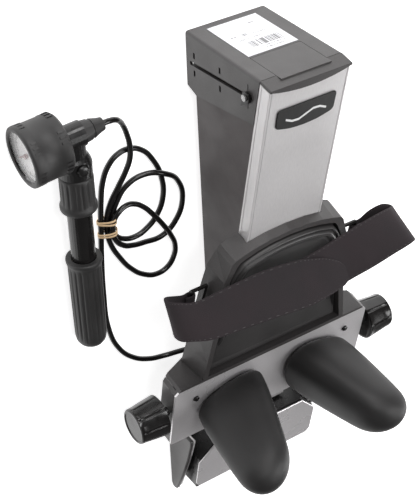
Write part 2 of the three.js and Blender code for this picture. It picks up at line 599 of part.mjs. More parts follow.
function gaugeNeedle() {
  const pointer = alongX(outline([[-1.2, -6], [1.2, -6], [0.5, 20], [-0.5, 20]]), 35.9, 36.7);
  const hub = rod(2.6, [35.5, 0, 0], V(1, 0, 0), 2.2, 12);
  const stem = rod(1, [33.7, 0, 0], V(1, 0, 0), 3, 10);
  return named("gauge_needle", "red", join(pointer, hub, stem).rotateX(THREE.MathUtils.degToRad(-150)));
}

function strainRelief() {
  return gaugeTurned("hose_strain_relief", "boot", [
    [-22.3, 3.4], [-22.3, 11.6], [-30, 10.6], [-30.4, 9.4], [-32.6, 9.2], [-33, 10], [-41, 7.4], [-45, 6.6],
    [-45, 3.4], [-22.3, 3.4],
  ], 24);
}

// ---------------------------------------------------------------- pump: handle
const handleStart = V(...HANDLE_START);
const HANDLE = V(...HANDLE_END).sub(handleStart).normalize();
const onHandle = (profile, segments) => turned(profile, HANDLE_START, HANDLE, segments);

function pumpHead() {
  const acrossGauge = (x, radius, length) => rod(radius, [x, 0, 0], V(1, 0, 0), length, 32).applyMatrix4(gaugeFrame);
  const ball = new THREE.SphereGeometry(17.2, 28, 16).translate(...HANDLE_START);
  const middle = V(-11.2, 0, 0).applyMatrix4(gaugeFrame);
  const neck = rod(12.6, middle.toArray(), handleStart.clone().sub(middle), handleStart.distanceTo(middle), 24);
  const column = onHandle([[-1, 0], [-1, 16.9], [11.4, 16.9], [11.4, 0]], 32);
  const besideBoot = cut(
    join(acrossGauge(-22, 13, 21.6), ball, neck, column),
    acrossGauge(-0.4, BOOT_RADIUS + 0.5, 40), acrossGauge(-46, 14, 24));
  const well = rod(6.6, [HANDLE_START[0], HANDLE_START[1], HANDLE_START[2] + 13.2], V(0, 0, 1), 20, 20);
  return named("pump_head", "black", cut(join(besideBoot, acrossGauge(-5, 7.6, 8)), well));
}

const releaseButton = () => named("release_button", "black", turned(
  [[0, 0], [0, 6.2], [3.4, 6.2], [4.6, 4.8], [5.2, 2.4], [5.3, 0]],
  [HANDLE_START[0], HANDLE_START[1], HANDLE_START[2] + 14.8], V(0, 0, 1), 20));

// Ribs run along a grip: shallow grooves cut around a turned sleeve.
function ribbed(profile, start, end, radius, count) {
  const grooves = [...Array(count).keys()].map((k) => {
    const t = (2 * Math.PI * k) / count;
    const g = rod(1.1, [0, start, 0], V(0, 1, 0), end - start, 6);
    g.translate((radius + 0.35) * Math.cos(t), 0, (radius + 0.35) * Math.sin(t));
    g.applyQuaternion(new THREE.Quaternion().setFromUnitVectors(V(0, 1, 0), HANDLE));
    return g.translate(...HANDLE_START);
  });
  return cut(onHandle(profile, 36), ...grooves);
}

const upperGrip = () => named("upper_grip", "boot", ribbed([
  [12, 13.3], [12, 16.6], [14, 17.2], [45.5, 17.4], [46.5, 18.4], [48, 19], [51.5, 19], [53, 18.2], [53, 13.3],
  [12, 13.3],
], 15, 44.5, 17.2, 16));

const lowerGrip = () => named("lower_grip", "boot", ribbed([
  [115, 13.1], [115, 18], [116.5, 18.9], [119.5, 18.9], [121.5, 17.6], [218, 17], [225, 15.8], [229.5, 12.5],
  [232, 6], [232.4, 0], [226, 0], [226, 13.1], [115, 13.1],
], 126, 216, 17.2, 18));

const pumpShaft = () => named("pump_shaft", "black", onHandle([[18, 0], [18, 12.7], [196, 12.7], [196, 0]], 28));

// ---------------------------------------------------------------- hose
const HOSE_ROUTE = [
  // out of the gauge's fitting and down to the table
  [165, 49.2, 31.7], [157, 49.4, 31], [148.5, 52.4, 27.8], [141, 59, 22.6], [134, 69.5, 16.8],
  [128, 83.5, 12], [124.5, 98, 9.9], [125, 114, 9.3], [129.5, 130, 6.4], [138, 146, 4.4],
  // through the tie and round the lowest loop
  [149, 163, 4.4], [154.8, 180, 4.4], [155.4, 193, 4.2], [152, 213, 3.2], [143, 234, 3.2], [130, 255, 3.2],
  [115, 269.5, 3.2], [99, 276, 3.2], [85, 272.5, 3.2], [76.5, 260.5, 3.8], [76, 245, 6.6], [82, 228, 9.7],
  [93, 207, 10], [103, 191.5, 8.6], [112, 180, 7.6], [122.2, 172, 7.8], [132.2, 169, 8.8],
  // through the tie again and round the widest loop
  [142.2, 171.7, 10.3], [149.5, 180, 10.5], [152.2, 193, 10.3], [148.8, 206, 10], [140, 216.5, 9.2],
  [128, 223.5, 6], [112, 228, 3.2], [89, 228.5, 3.2], [71, 215, 3.2], [62, 193, 3.2], [67, 167, 5.2],
  [85, 148, 10], [107, 142, 6.2], [128, 149, 3.6],
  // and round the upper loop
  [142, 165, 4], [148.4, 181, 4.4], [149.2, 193, 4.2], [145, 205, 3.6], [136, 213, 3.2], [122, 216, 3.2],
  [107, 211, 3.2], [94, 199, 3.2], [86, 181, 3.2], [86, 156, 3.2], [96, 129, 3.2], [107, 114.5, 3.2],
  [121, 107.5, 3.2], [135.5, 109, 3.2], [147, 118.5, 3.2], [154.5, 134, 3.2], [159, 155, 4],
  // through the tie and away beside the handle to the unit's inlet
  [161.6, 180, 4.4], [162.3, 193, 4.2], [163.5, 216, 3.4], [165.5, 270, 3.2], [163.5, 322, 3.2], [154, 354, 3.2],
  [137, 377, 3.2], [116, 390, 3.4], [98, 393, 5.6], [84, 390.6, 11], [73, 387, 17.4], [65.5, 385.3, 21],
  [58.2, 385, 22],
].map(([x, y, z]) => V(x, y, z));

function hose() {
  const route = new THREE.CatmullRomCurve3(HOSE_ROUTE, false, "centripetal");
  const section = new THREE.Shape([...Array(8).keys()].map((k) =>
    new THREE.Vector2(HOSE_RADIUS * Math.cos((k * Math.PI) / 4), HOSE_RADIUS * Math.sin((k * Math.PI) / 4))));
  return named("hose", "black", new THREE.ExtrudeGeometry(section, { steps: 88, extrudePath: route }));
}

// A rubber band round the four runs of hose.
function hoseBand(name, y, left) {
  const loop = (wall) => [
    [left - wall, 1 - wall, 3], [165.7 + wall, 1 - wall, 3], [165.7 + wall, 7.4 + wall, 3],
    [155.4 + wall, 14.2 + wall, 3], [147 - wall / 2, 14.4 + wall, 3], [left - wall, 7.2 + wall, 3],
  ];
  return named(name, "band", alongY(outline(loop(0.9), [loop(0)]), y - 1.2, y + 1.2, 0, 3));
}

// ---------------------------------------------------------------- assembly
function framed(matrix, meshes) {
  const group = new THREE.Group();
  group.applyMatrix4(matrix);
  group.add(...meshes);
  return group;
}

const unit = new THREE.Group();
unit.position.y = -ORIGIN_Y;
unit.add(
  standShell(), labelSticker(), leg(), legFoot(), legPin(), lockLever(1), lockLever(-1),
  baseChannel(), sidePanel(1), sidePanel(-1), sideTrim(1), sideTrim(-1), neckBlock(), neckPad(),
  hoseInlet(), endCap(),
  framed(trackFrame, [
    trackExtrusion(), badge(), badgeEmblem(), cylinderBarrel(), cylinderClamp(110, "cylinder_clamp_head"),
    cylinderClamp(300, "cylinder_clamp_neck"), nosePlate(),
    cradleShell(), crossbarPlate(), plateStud(1), plateStud(-1), headPad(), glide(1), glide(-1), driveLug(), pistonRod(),
    strapRing(1), strapRing(-1), strap("strap_left", LEFT_STRAP), strap("strap_right", RIGHT_STRAP),
    leadScrew(), knob(1), knob(-1), wedgeCarrier(1), wedgeCarrier(-1), wedge(1), wedge(-1),
  ]),
  framed(gaugeFrame, [...gaugeParts(), gaugeNeedle(), strainRelief()]),
  pumpHead(), releaseButton(), upperGrip(), lowerGrip(), pumpShaft(),
  hose(), hoseBand("hose_band_head", 181, 144.6), hoseBand("hose_band_neck", 195, 144.9),
);

const part = new THREE.Group();
part.add(unit);
export default part;
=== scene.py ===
"""Looks for the home neck-traction unit: camera, light, materials and the pieces that CAD keeps plain.

Lengths are millimetres in the unit's own frame (x across, y from the head face, z up) until `unit`,
`track`, `gauge` or `handle` turns them into metres in the row frame.
"""
import json
import math

import bpy
from mathutils import Matrix, Vector


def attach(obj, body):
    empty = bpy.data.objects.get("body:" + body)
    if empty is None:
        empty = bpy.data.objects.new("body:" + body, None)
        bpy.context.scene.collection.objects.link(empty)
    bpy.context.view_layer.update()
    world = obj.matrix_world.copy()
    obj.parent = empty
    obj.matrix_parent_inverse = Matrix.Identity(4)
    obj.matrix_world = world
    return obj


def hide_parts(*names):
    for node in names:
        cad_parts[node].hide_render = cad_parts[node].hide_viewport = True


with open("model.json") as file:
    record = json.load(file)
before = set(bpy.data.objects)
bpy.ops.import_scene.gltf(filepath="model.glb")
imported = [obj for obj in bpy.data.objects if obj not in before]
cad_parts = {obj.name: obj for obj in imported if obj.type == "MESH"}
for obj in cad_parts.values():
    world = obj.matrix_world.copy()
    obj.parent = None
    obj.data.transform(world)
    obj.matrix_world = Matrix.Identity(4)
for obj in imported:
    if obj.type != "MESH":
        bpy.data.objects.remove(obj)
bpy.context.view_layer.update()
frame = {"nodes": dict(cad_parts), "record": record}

MM = 0.001
ORIGIN_Y = 560
SLOPE = math.radians(11.54)
TRACK_RISE = 141.8
GAUGE_YAW = math.radians(4.4)
GAUGE_BACK = (251 - 42 * math.cos(GAUGE_YAW), 55.8 - 42 * math.sin(GAUGE_YAW), 31.7)
HANDLE_START = Vector((195.5, 84, 28))
HANDLE_AXIS = (Vector((192, 320, 17.4)) - HANDLE_START).normalized()


# ------------------------------------------------------------------ frames
def unit(x, y, z):
    """A point of the unit's frame, in metres of the row frame."""
    return Vector((x, y - ORIGIN_Y, z)) * MM


def track(x, s, n):
    """A point x across, s down the sloping track and n above it."""
    return unit(x, s * math.cos(SLOPE) + n * math.sin(SLOPE),
                TRACK_RISE - s * math.sin(SLOPE) + n * math.cos(SLOPE))


def gauge(x, y, z):
    """A point x along the gauge's axis from its back, with y and z across it."""
    return unit(GAUGE_BACK[0] + x * math.cos(GAUGE_YAW) - y * math.sin(GAUGE_YAW),
                GAUGE_BACK[1] + x * math.sin(GAUGE_YAW) + y * math.cos(GAUGE_YAW), GAUGE_BACK[2] + z)


HANDLE_SIDE = HANDLE_AXIS.cross(Vector((0, 0, 1))).normalized()
HANDLE_UP = HANDLE_SIDE.cross(HANDLE_AXIS)


def handle(t, a, b):
    """A point t along the pump's handle, a to its side and b above it."""
    return unit(*(HANDLE_START + HANDLE_AXIS * t + HANDLE_SIDE * a + HANDLE_UP * b))


# ------------------------------------------------------------------ camera
def make_camera():
    data = bpy.data.cameras.new("camera")
    data.sensor_width = 36
    data.lens = 93.12
    right = Vector((-0.8312, 0.0262, 0.5554))
    up = Vector((-0.3481, -0.8034, -0.4831))
    back = Vector((0.4335, -0.5949, 0.6769))
    turn = Matrix((right, up, back)).transposed().to_4x4()
    camera = bpy.data.objects.new("camera", data)
    camera.matrix_world = Matrix.Translation(unit(652.8, -581.5, 976.8)) @ turn
    bpy.context.collection.objects.link(camera)
    bpy.context.scene.camera = camera


make_camera()


# ------------------------------------------------------------------ node helpers
class Nodes:
    """A short way to write a shader's nodes: every call adds one and returns its output."""

    def __init__(self, name):
        self.material = bpy.data.materials.new(name)
        self.material.use_nodes = True
        self.tree = self.material.node_tree
        self.shader = self.tree.nodes["Principled BSDF"]
        self.place = self.add("ShaderNodeTexCoord").outputs["Object"]

    def add(self, kind, inputs=(), **settings):
        node = self.tree.nodes.new(kind)
        for key, value in settings.items():
            setattr(node, key, value)
        for key, value in dict(inputs).items():
            self.feed(node.inputs[key], value)
        return node

    def feed(self, socket, value):
        if isinstance(value, bpy.types.NodeSocket):
            self.tree.links.new(value, socket)
        else:
            socket.default_value = value

    def set(self, **inputs):
        for key, value in inputs.items():
            self.feed(self.shader.inputs[key.replace("_", " ")], value)

    def math(self, operation, a, b=0.0):
        return self.add("ShaderNodeMath", {0: a, 1: b}, operation=operation).outputs[0]

    def stretched(self, scale, turn=(0, 0, 0)):
        """The object's coordinates, scaled per axis."""
        return self.add("ShaderNodeMapping", {
            "Vector": self.place, "Scale": scale, "Rotation": turn}).outputs[0]

    def noise(self, scale, detail=3.0, roughness=0.55, at=None):
        return self.add("ShaderNodeTexNoise", {
            "Vector": at or self.place, "Scale": scale, "Detail": detail, "Roughness": roughness}).outputs[0]

    def spread(self, value, low, high, source=(0.3, 0.7)):
        return self.add("ShaderNodeMapRange", {
            "Value": value, "From Min": source[0], "From Max": source[1],
            "To Min": low, "To Max": high}).outputs[0]

    def mix(self, factor, a, b):
        node = self.add("ShaderNodeMix", data_type="RGBA")
        self.feed(node.inputs[0], factor)
        self.feed(node.inputs[6], a)
        self.feed(node.inputs[7], b)
        return node.outputs[2]

    def bump(self, height, strength, distance, under=None):
        node = self.add("ShaderNodeBump", {"Height": height, "Strength": strength, "Distance": distance})
        if under is not None:
            self.feed(node.inputs["Normal"], under)
        return node.outputs[0]


def rgb(value, tint=(1, 1, 1)):
    return (value * tint[0], value * tint[1], value * tint[2], 1)


# ------------------------------------------------------------------ materials
def painted(name, level, tint, roughness, painted_glint=0.0, grain=0.12):
    """Powder-textured paint: fine grain, faint mottling, and a few flakes painted bright in the colour as
    painted glints.
    """
    m = Nodes(name)
    mottle = m.spread(m.noise(34, 4), 0.86, 1.14)
    colour = m.mix(m.noise(70, 3), rgb(level * 0.9, tint), rgb(level * 1.12, tint))
    # Painted glints: a few flakes made bright in the base colour itself, standing in for light sparkling off
    # the paint.
    if painted_glint:
        glint_flakes = m.spread(m.noise(2400, 1), 0, 1, (0.66, 0.74))
        colour = m.mix(m.math("MULTIPLY", glint_flakes, painted_glint), colour, rgb(level * 4.2, tint))
    fine = m.noise(1500, 2)
    m.set(Base_Color=colour, Roughness=m.math("MULTIPLY", mottle, roughness),
          Normal=m.bump(fine, grain, 0.0004))
    return m.material


def satin_aluminium():
    """Extruded aluminium, drawn along its length, with a soft blasted grain."""
    m = Nodes("satin_aluminium")
    streaks = m.noise(1, 4, at=m.stretched((900, 14, 900), (SLOPE, 0, 0)))
    cloud = m.noise(9, 3)
    colour = m.mix(streaks, rgb(0.66, (1, 0.98, 0.985)), rgb(0.80, (1, 0.98, 0.985)))
    rough = m.math("ADD", m.spread(cloud, 0.36, 0.46), m.spread(streaks, -0.03, 0.03))
    m.set(Base_Color=colour, Metallic=0.5, Roughness=rough,
          Normal=m.bump(streaks, 0.08, 0.0002, m.bump(m.noise(1800, 1), 0.06, 0.0002)))
    return m.material


def blasted_plate():
    """The brighter plates: bead-blasted, with an even fine speckle."""
    m = Nodes("blasted_plate")
    speck = m.noise(1300, 2)
    colour = m.mix(speck, rgb(0.62, (1, 0.975, 0.99)), rgb(0.88, (1, 0.975, 0.99)))
    m.set(Base_Color=colour, Metallic=0.5, Roughness=m.spread(m.noise(14, 3), 0.25, 0.34),
          Normal=m.bump(speck, 0.12, 0.0003))
    return m.material


def moulded(name, level, tint, roughness, grain=0.05, scuffs=0.06):
    """Moulded plastic: faint flow marks, fingerprints in the gloss, a light spark-eroded grain."""
    m = Nodes(name)
    colour = m.mix(m.noise(48, 3), rgb(level * 0.85, tint), rgb(level * 1.2, tint))
    marks = m.noise(1, 3, at=m.stretched((160, 40, 90)))
    m.set(Base_Color=colour, Roughness=m.math("ADD", m.spread(marks, -scuffs, scuffs), roughness),
          Normal=m.bump(m.noise(1600, 1), grain, 0.0002))
    return m.material


def rubber(name, level, tint, roughness, grain=0.2):
    """Rubber and skinned foam: dull bloom in patches over a pebbled skin."""
    m = Nodes(name)
    bloom = m.spread(m.noise(16, 4), 0, 1, (0.4, 0.75))
    colour = m.mix(bloom, rgb(level, tint), rgb(level * 1.45, tint))
    skin = m.add("ShaderNodeTexVoronoi", {"Vector": m.place, "Scale": 1100}).outputs["Distance"]
    m.set(Base_Color=colour, Roughness=m.math("ADD", m.math("MULTIPLY", bloom, 0.08), roughness),
          Normal=m.bump(skin, grain, 0.0002, m.bump(m.noise(60, 2), 0.05, 0.001)))
    return m.material


def webbing():
    """Brushed-loop strap cloth: a soft nap over a fine weave, with a faint plum cast where it is worn."""
    m = Nodes("strap_cloth")
    yarn = {"Vector": m.place, "Scale": 260, "Distortion": 2.5, "Detail": 2}
    warp = m.add("ShaderNodeTexWave", yarn).outputs[1]
    weft = m.add("ShaderNodeTexWave", yarn, bands_direction="Y").outputs[1]
    nap = m.noise(2100, 3)
    cast = m.spread(m.noise(13, 3), 0, 1, (0.35, 0.7))
    colour = m.mix(cast, (0.0120, 0.0090, 0.0108, 1), (0.0190, 0.0115, 0.0142, 1))
    colour = m.mix(m.math("MULTIPLY", nap, 0.5), colour, (0.036, 0.030, 0.033, 1))
    weave = m.math("MULTIPLY", warp, weft)
    m.set(Base_Color=colour, Roughness=0.92,
          Sheen_Weight=0.12, Sheen_Roughness=0.4, Sheen_Tint=(0.5, 0.42, 0.46, 1),
          Normal=m.bump(nap, 0.5, 0.0005, m.bump(weave, 0.25, 0.0003)))
    return m.material


def steel():
    m = Nodes("steel")
    turning = m.noise(1, 3, at=m.stretched((40, 1400, 1400)))
    m.set(Base_Color=m.mix(turning, rgb(0.36), rgb(0.52)), Metallic=0.95,
          Roughness=m.spread(m.noise(60, 3), 0.22, 0.36), Normal=m.bump(turning, 0.1, 0.0002))
    return m.material


# Ranges of x, then z, in millimetres: the block of printed bars, and each row of small strokes.
LABEL_BARS = (-24, 14, 57, 69)
LABEL_ROWS = [
    (-22, 12, 71, 72.2), (-18, -9, 23, 24.6), (-20, -2, 44, 45.2), (4, 9, 40, 45),
    (16, 22, 41, 42.6), (-6, 20, 50.5, 51.7), (-20, 4, 75.5, 76.8),
]


def printed_label():
    """White paper with a block of plain bars and rows of small grey strokes, no words."""
    m = Nodes("printed_label")
    axes = m.add("ShaderNodeSeparateXYZ", {0: m.place}).outputs
    x, z = m.math("MULTIPLY", axes[0], 1000), m.math("MULTIPLY", axes[2], 1000)

    def between(value, low, high):
        return m.math("MULTIPLY", m.math("GREATER_THAN", value, low), m.math("LESS_THAN", value, high))

    def area(x0, x1, z0, z1):
        return m.math("MULTIPLY", between(x, x0, x1), between(z, z0, z1))

    def strokes(value, pitch, share):
        cell = m.math("FLOOR", m.math("DIVIDE", value, pitch))
        chance = m.add("ShaderNodeTexWhiteNoise", {"W": cell}, noise_dimensions="1D").outputs[0]
        return m.math("LESS_THAN", chance, share)

    ink = m.math("MULTIPLY", area(*LABEL_BARS), strokes(x, 0.75, 0.55))
    for row in LABEL_ROWS:
        ink = m.math("MAXIMUM", ink, m.math("MULTIPLY", area(*row), strokes(x, 0.6, 0.62)))
    paper = m.mix(m.noise(220, 3), (0.74, 0.74, 0.77, 1), (0.8, 0.8, 0.83, 1))
    m.set(Base_Color=m.mix(m.math("MULTIPLY", ink, 0.78), paper, rgb(0.05)), Roughness=0.55,
          Normal=m.bump(m.noise(900, 2), 0.05, 0.0001))
    return m.material


def plain(name, low, high, roughness, scale=300, **inputs):
    """A small printed or enamelled surface: two close colours, mixed in fine noise."""
    m = Nodes(name)
    grain = m.noise(scale, 2)
    m.set(Base_Color=m.mix(grain, low, high), Roughness=m.spread(grain, roughness * 0.9, roughness * 1.1),
          Normal=m.bump(grain, 0.05, 0.0002), **inputs)
    return m.material


WARM = (1.0, 0.93, 0.935)
DARK = (1.0, 0.94, 0.95)
LOOK = {
    "charcoal": painted("charcoal_paint", 0.046, WARM, 0.4, painted_glint=0.4),
    "channel": painted("channel_paint", 0.053, (1.0, 0.82, 0.83), 0.5),
    "black": moulded("black_plastic", 0.006, DARK, 0.3),
    "rubber": rubber("black_foam", 0.0125, DARK, 0.52),
    "boot": rubber("grey_rubber", 0.023, (1.0, 0.97, 0.97), 0.5, 0.12),
    "silver": satin_aluminium(),
    "paper": printed_label(),
    "emblem": plain("emblem_print", rgb(0.74), rgb(0.86), 0.35),
    "steel": steel(),
    "pad": rubber("pad_skin", 0.030, (1.0, 0.95, 0.95), 0.4, 0.15),
    "fabric": webbing(),
    "dial": plain("dial_enamel", rgb(0.70, (1, 0.98, 0.98)), rgb(0.80, (1, 0.98, 0.98)), 0.4),
    "red": plain("needle_enamel", (0.16, 0.02, 0.018, 1), (0.22, 0.03, 0.025, 1), 0.35),
    "clear": plain("lens", rgb(0.97), rgb(1.0), 0.03, Transmission_Weight=1.0, IOR=1.2),
    "band": plain("tan_band", (0.62, 0.43, 0.24, 1), (0.74, 0.54, 0.33, 1), 0.5, 120),
    "plate": blasted_plate(),
    "hose": moulded("hose_skin", 0.0065, (1.0, 0.93, 0.9), 0.2, 0.02, 0.03),
    "knob": moulded("knob_plastic", 0.007, (1.0, 0.9, 0.88), 0.2, 0.015),
    "thread": plain("strap_thread", rgb(0.05, DARK), rgb(0.09, DARK), 0.8),
    "badge": moulded("badge_enamel", 0.009, DARK, 0.48, 0.04, 0.04),
    "ink": plain("dial_ink", rgb(0.02), rgb(0.035), 0.5),
}


# ------------------------------------------------------------------ mesh helpers
def piece(name, verts, faces, look, body, smooth=35):
    """A mesh piece from points in the row frame, shaded smooth up to an angle."""
    mesh = bpy.data.meshes.new(name)
    mesh.from_pydata([tuple(v) for v in verts], [], faces)
    mesh.validate()
    mesh.materials.append(LOOK[look])
    mesh.polygons.foreach_set("use_smooth", [True] * len(mesh.polygons))
    mesh.set_sharp_from_angle(angle=math.radians(smooth))
    obj = bpy.data.objects.new(name, mesh)
    bpy.context.collection.objects.link(obj)
    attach(obj, body)
    return obj


def skin(rings, cap=True):
    """Points and faces of a surface through closed rings of equal count."""
    count = len(rings[0])
    verts = [p for ring in rings for p in ring]
    faces = []
    for r in range(len(rings) - 1):
        for i in range(count):
            j = (i + 1) % count
            faces.append((r * count + i, r * count + j, (r + 1) * count + j, (r + 1) * count + i))
    if cap:
        faces.append(tuple(reversed(range(count))))
        faces.append(tuple(range((len(rings) - 1) * count, len(rings) * count)))
    return verts, faces


def lathe(profile, place, count=96, shape=None):
    """Rings round an axis: profile holds (along, radius); shape(along, angle) scales the radius."""
    rings = []
    for along, radius in profile:
        ring = []
        for k in range(count):
            angle = 2 * math.pi * k / count
            r = radius * (shape(along, angle) if shape else 1)
            ring.append(place(along, r * math.cos(angle), r * math.sin(angle)))
        rings.append(ring)
    return rings


def smooth_through(keys, count):
    """count+1 values along a Catmull-Rom curve through rows of numbers."""
    rows = []
    last = len(keys) - 1
    for k in range(count + 1):
        t = k * last / count
        i = min(int(t), last - 1)
        f = t - i
        p0, p1, p2, p3 = (keys[max(0, min(last, i + d))] for d in (-1, 0, 1, 2))
        rows.append([0.5 * (2 * b + (c - a) * f + (2 * a - 5 * b + 4 * c - d) * f * f
                            + (3 * b - a - 3 * c + d) * f ** 3) for a, b, c, d in zip(p0, p1, p2, p3)])
    return rows


def join(parts):
    """One list of points and faces from several."""
    verts, faces = [], []
    for more_verts, more_faces in parts:
        faces += [tuple(i + len(verts) for i in face) for face in more_faces]
        verts += more_verts
    return verts, faces


# ------------------------------------------------------------------ hose
# Out of the gauge, through three loops, and into the unit.
HOSE_DIAMETER = 6
HOSE_ROUTE = [
    (165, 49.2, 31.7), (157, 49.4, 31), (148.5, 52.4, 27.8), (141, 59, 22.6), (134, 69.5, 16.8),
    (128, 83.5, 12), (124.5, 98, 9.9), (125, 114, 9.3), (129.5, 130, 6.4), (138, 146, 4.4),
    (149, 163, 4.4), (154.8, 180, 4.4), (155.4, 193, 4.2), (152, 213, 3.2), (143, 234, 3.2), (130, 255, 3.2),
    (115, 269.5, 3.2), (99, 276, 3.2), (85, 272.5, 3.2), (76.5, 260.5, 3.8), (76, 245, 6.6), (82, 228, 9.7),
    (93, 207, 10), (103, 191.5, 8.6), (112, 180, 7.6), (122.2, 172, 7.8), (132.2, 169, 8.8),
    (142.2, 171.7, 10.3), (149.5, 180, 10.5), (152.2, 193, 10.3), (148.8, 206, 10), (140, 216.5, 9.2),
    (128, 223.5, 6), (112, 228, 3.2), (89, 228.5, 3.2), (71, 215, 3.2), (62, 193, 3.2), (67, 167, 5.2),
    (85, 148, 10), (107, 142, 6.2), (128, 149, 3.6),
    (142, 165, 4), (148.4, 181, 4.4), (149.2, 193, 4.2), (145, 205, 3.6), (136, 213, 3.2), (122, 216, 3.2),
    (107, 211, 3.2), (94, 199, 3.2), (86, 181, 3.2), (86, 156, 3.2), (96, 129, 3.2), (107, 114.5, 3.2),
    (121, 107.5, 3.2), (135.5, 109, 3.2), (147, 118.5, 3.2), (154.5, 134, 3.2), (159, 155, 4),
    (161.6, 180, 4.4), (162.3, 193, 4.2), (163.5, 216, 3.4), (165.5, 270, 3.2), (163.5, 322, 3.2),
    (154, 354, 3.2), (137, 377, 3.2), (116, 390, 3.4), (98, 393, 5.6), (84, 390.6, 11), (73, 387, 17.4),
    (65.5, 385.3, 21),
    (58.2, 385, 22),
]


def make_hose():
    curve = bpy.data.curves.new("air_hose", "CURVE")
    curve.dimensions = "3D"
    curve.bevel_depth = HOSE_DIAMETER / 2 * MM
    curve.bevel_resolution = 8
    curve.use_fill_caps = True
    curve.resolution_u = 10
    spline = curve.splines.new("BEZIER")
    spline.bezier_points.add(len(HOSE_ROUTE) - 1)
    for point, at in zip(spline.bezier_points, HOSE_ROUTE):
        point.co = unit(*at)
        point.handle_left_type = point.handle_right_type = "AUTO"
    curve.materials.append(LOOK["hose"])
    hose = bpy.data.objects.new("air_hose", curve)
    bpy.context.collection.objects.link(hose)
    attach(hose, "frame")
    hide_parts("hose")
    return hose, spline.calc_length()


def band_wrap(y, slant, left, radius=1.15):
    """One wrap of a rubber band round the bundle, at y, slanting along it."""
    loop = smooth_through([
        (left, 3.2), (left + 2.2, 1.2), (155, 0.9), (163, 1.1), (165.9, 4), (164.8, 7.6), (159.5, 11.4),
        (155.2, 13.6), (151.5, 14.2), (148.6, 12.8), (146, 9), (left, 5), (left, 3.2)], 71)[:-1]
    rings = []
    for k, (x, z) in enumerate(loop):
        before, after = loop[k - 1], loop[(k + 1) % len(loop)]
        out = Vector((after[1] - before[1], 0, before[0] - after[0])).normalized()
        if out.dot(Vector((x - 155, 0, z - 7))) < 0:
            out.negate()
        middle = Vector((x, y + slant * (x - 155) / 10, z))
        ring = []
        for a in (2 * math.pi * i / 10 for i in range(10)):
            across = Vector((0, radius * math.sin(a), 0))
            ring.append(unit(*(middle + out * (radius * 0.55 * math.cos(a)) + across)))
        rings.append(ring)
    rings.append(rings[0])
    return skin(rings, cap=False)


def make_bands():
    head_wraps = [band_wrap(178.6, 0.7, 144.9), band_wrap(182.4, -0.9, 145.2)]
    neck_wraps = [band_wrap(193.4, 1.3, 145.6), band_wrap(196.4, 0.9, 145.4)]
    head = piece("band_head", *join(head_wraps), "band", "frame")
    neck = piece("band_neck", *join(neck_wraps), "band", "frame")
    for obj, node in ((head, "hose_band_head"), (neck, "hose_band_neck")):
        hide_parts(node)
    return [head, neck]


hose, hose_length = make_hose()
bands = make_bands()
tuple(unit(*HOSE_ROUTE[0]))


# ------------------------------------------------------------------ strap
# Stations along each strap: x, s, n of its middle, its lean in degrees, and half its width.
RING_TURN = [
    (114.5, 270, -3, 0, 16.5), (108.5, 270, -2.1, 0, 16.5), (104.6, 270, -2.7, 0, 16.5),
    (103.2, 270, -5.4, 0, 16.5), (104.6, 270, -8.1, 0, 16.5), (108.5, 270, -8.8, 0, 16.7),
    (116, 270, -7.4, 2, 17),
]
LEFT_STRAP = RING_TURN + [
    (127, 266, -3, 10, 19.5), (138, 259, 5, 25, 21.5), (144, 253, 13, 38, 22), (143.5, 249, 22, 45, 21.5),
    (136, 246.5, 29, 47, 21), (118, 247, 36, 51, 21), (80, 245, 39, 47, 23.5), (40, 244.5, 41, 46, 25.5),
    (0, 248, 43, 45, 25.5), (-20, 250, 43.8, 45, 22.5), (-36, 251.5, 45, 44, 19),
    (-50, 254.5, 46.5, 43, 13.5), (-57, 256.5, 47.4, 42, 7.5),
]
RIGHT_STRAP = [(-x, *rest) for x, *rest in RING_TURN] + [
    (-126, 263, -1, 16, 20), (-138, 254, 11, 38, 22.5), (-145, 246, 23, 60, 23.5), (-145, 239, 30, 74, 23.5),
    (-133, 233, 36, 73, 23.5), (-112, 235, 37, 62, 23.5), (-84, 242, 36.5, 50, 24), (-60, 248, 35.5, 44, 24),
    (-34, 251, 38, 44, 24), (0, 251.5, 40.3, 45, 24), (30, 248.3, 39.5, 45.5, 24),
]
STRAP_THICKNESS = 2.2


def strap_rows(stations, count):
    """The strap's middle and the vector to its edge, at even steps along it."""
    rows = []
    for x, s, n, lean, half in smooth_through(stations, count):
        a = math.radians(lean)
        rows.append((track(x, s, n), (track(0, math.cos(a), math.sin(a)) - track(0, 0, 0)) * half))
    return rows


def make_strap(name, stations, node):
    rows = strap_rows(stations, 150)
    across = [math.sin(math.pi / 2 * u / 6) for u in range(-6, 7)]
    rings, area, length = [], 0.0, 0.0
    for k, (middle, half) in enumerate(rows):
        after, before = rows[min(k + 1, len(rows) - 1)][0], rows[max(k - 1, 0)][0]
        up = (after - before).cross(half).normalized() * (STRAP_THICKNESS / 2 * MM)
        edge = [0.35 if abs(u) > 0.99 else 0.75 if abs(u) > 0.93 else 1.0 for u in across]
        top = [middle + half * u + up * e for u, e in zip(across, edge)]
        under = [middle + half * u - up * e for u, e in zip(across, edge)]
        rings.append(top + under[::-1])
        if k:
            step = (middle - rows[k - 1][0]).length
            length += step
            area += step * (half.length + rows[k - 1][1].length)
    obj = piece(name, *skin(rings), "fabric", "carriage", 50)
    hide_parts(node)
    stitches = make_stitches(name + "_stitching", rows)
    width = 2 * max(half for *_, half in stations) * MM


